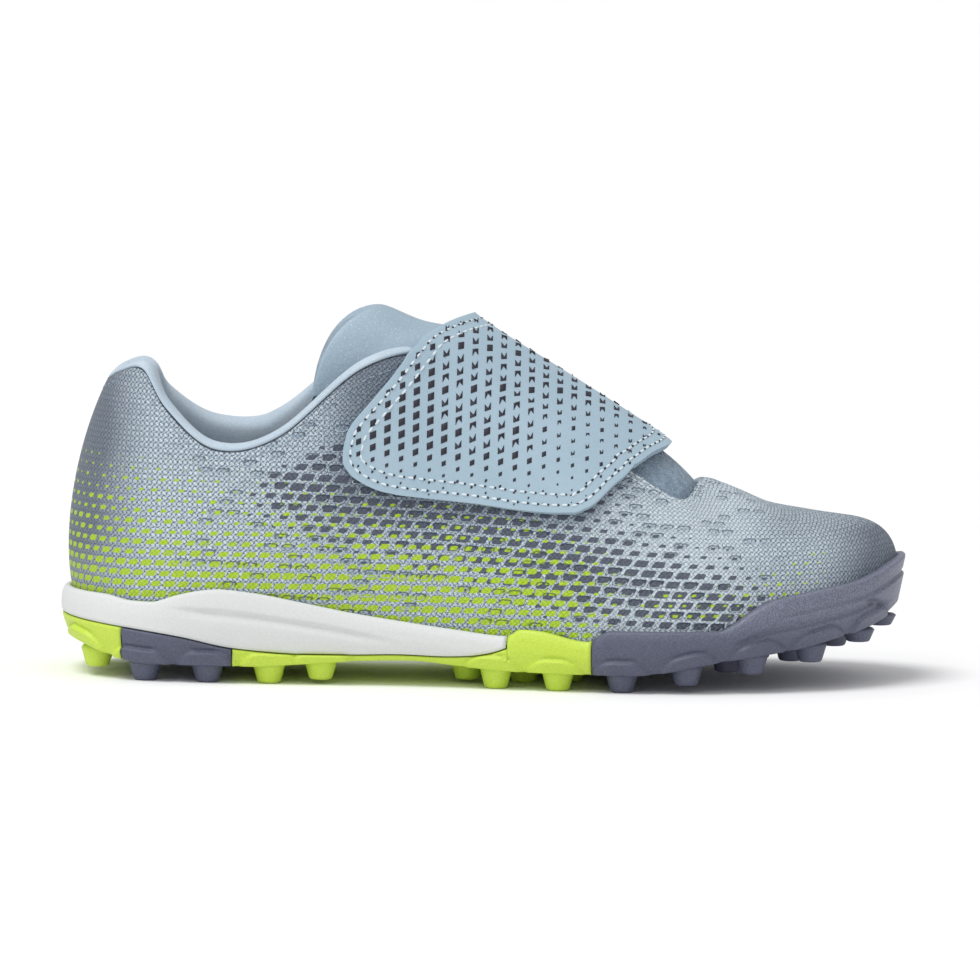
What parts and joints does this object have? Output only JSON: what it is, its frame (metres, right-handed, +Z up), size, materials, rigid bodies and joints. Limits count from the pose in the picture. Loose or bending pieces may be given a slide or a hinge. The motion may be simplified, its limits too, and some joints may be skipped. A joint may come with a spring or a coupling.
{
  "type": "strap turf trainer",
  "caption": "Child's right turf trainer: hollow woven upper with padded collar and tongue, one wide strap, foam midsole and a rubber outsole with short conical studs",
  "frame": {"origin": "on the floor under the studs, at the middle of the shoe's length and width", "axes": "+X from heel to toe, +Y to the medial side, +Z up"},
  "size_m": [0.2101, 0.0802, 0.0918],
  "materials": {
    "lime_rubber": "moulded, finely speckled",
    "slate_rubber": "moulded, finely speckled",
    "white_foam": "smooth matte foam",
    "woven_blue": "coarse weave with printed marks",
    "smooth_lining": "smooth padded knit",
    "shimmer_tongue": "padded knit with a shimmer",
    "pale_suede": "suede-like synthetic with dark diamonds",
    "insole_cloth": "brushed cloth on foam"
  },
  "bodies": {
    "root": {"outsole_heel_tip": "lime_rubber", "outsole_heel": "slate_rubber", "outsole_arch": "lime_rubber", "outsole_forefoot": "slate_rubber", "midsole": "white_foam", "insole": "insole_cloth", "upper": "woven_blue", "collar_lining": "smooth_lining", "tongue": "shimmer_tongue", "strap": "pale_suede"}
  },
  "joints": []
}
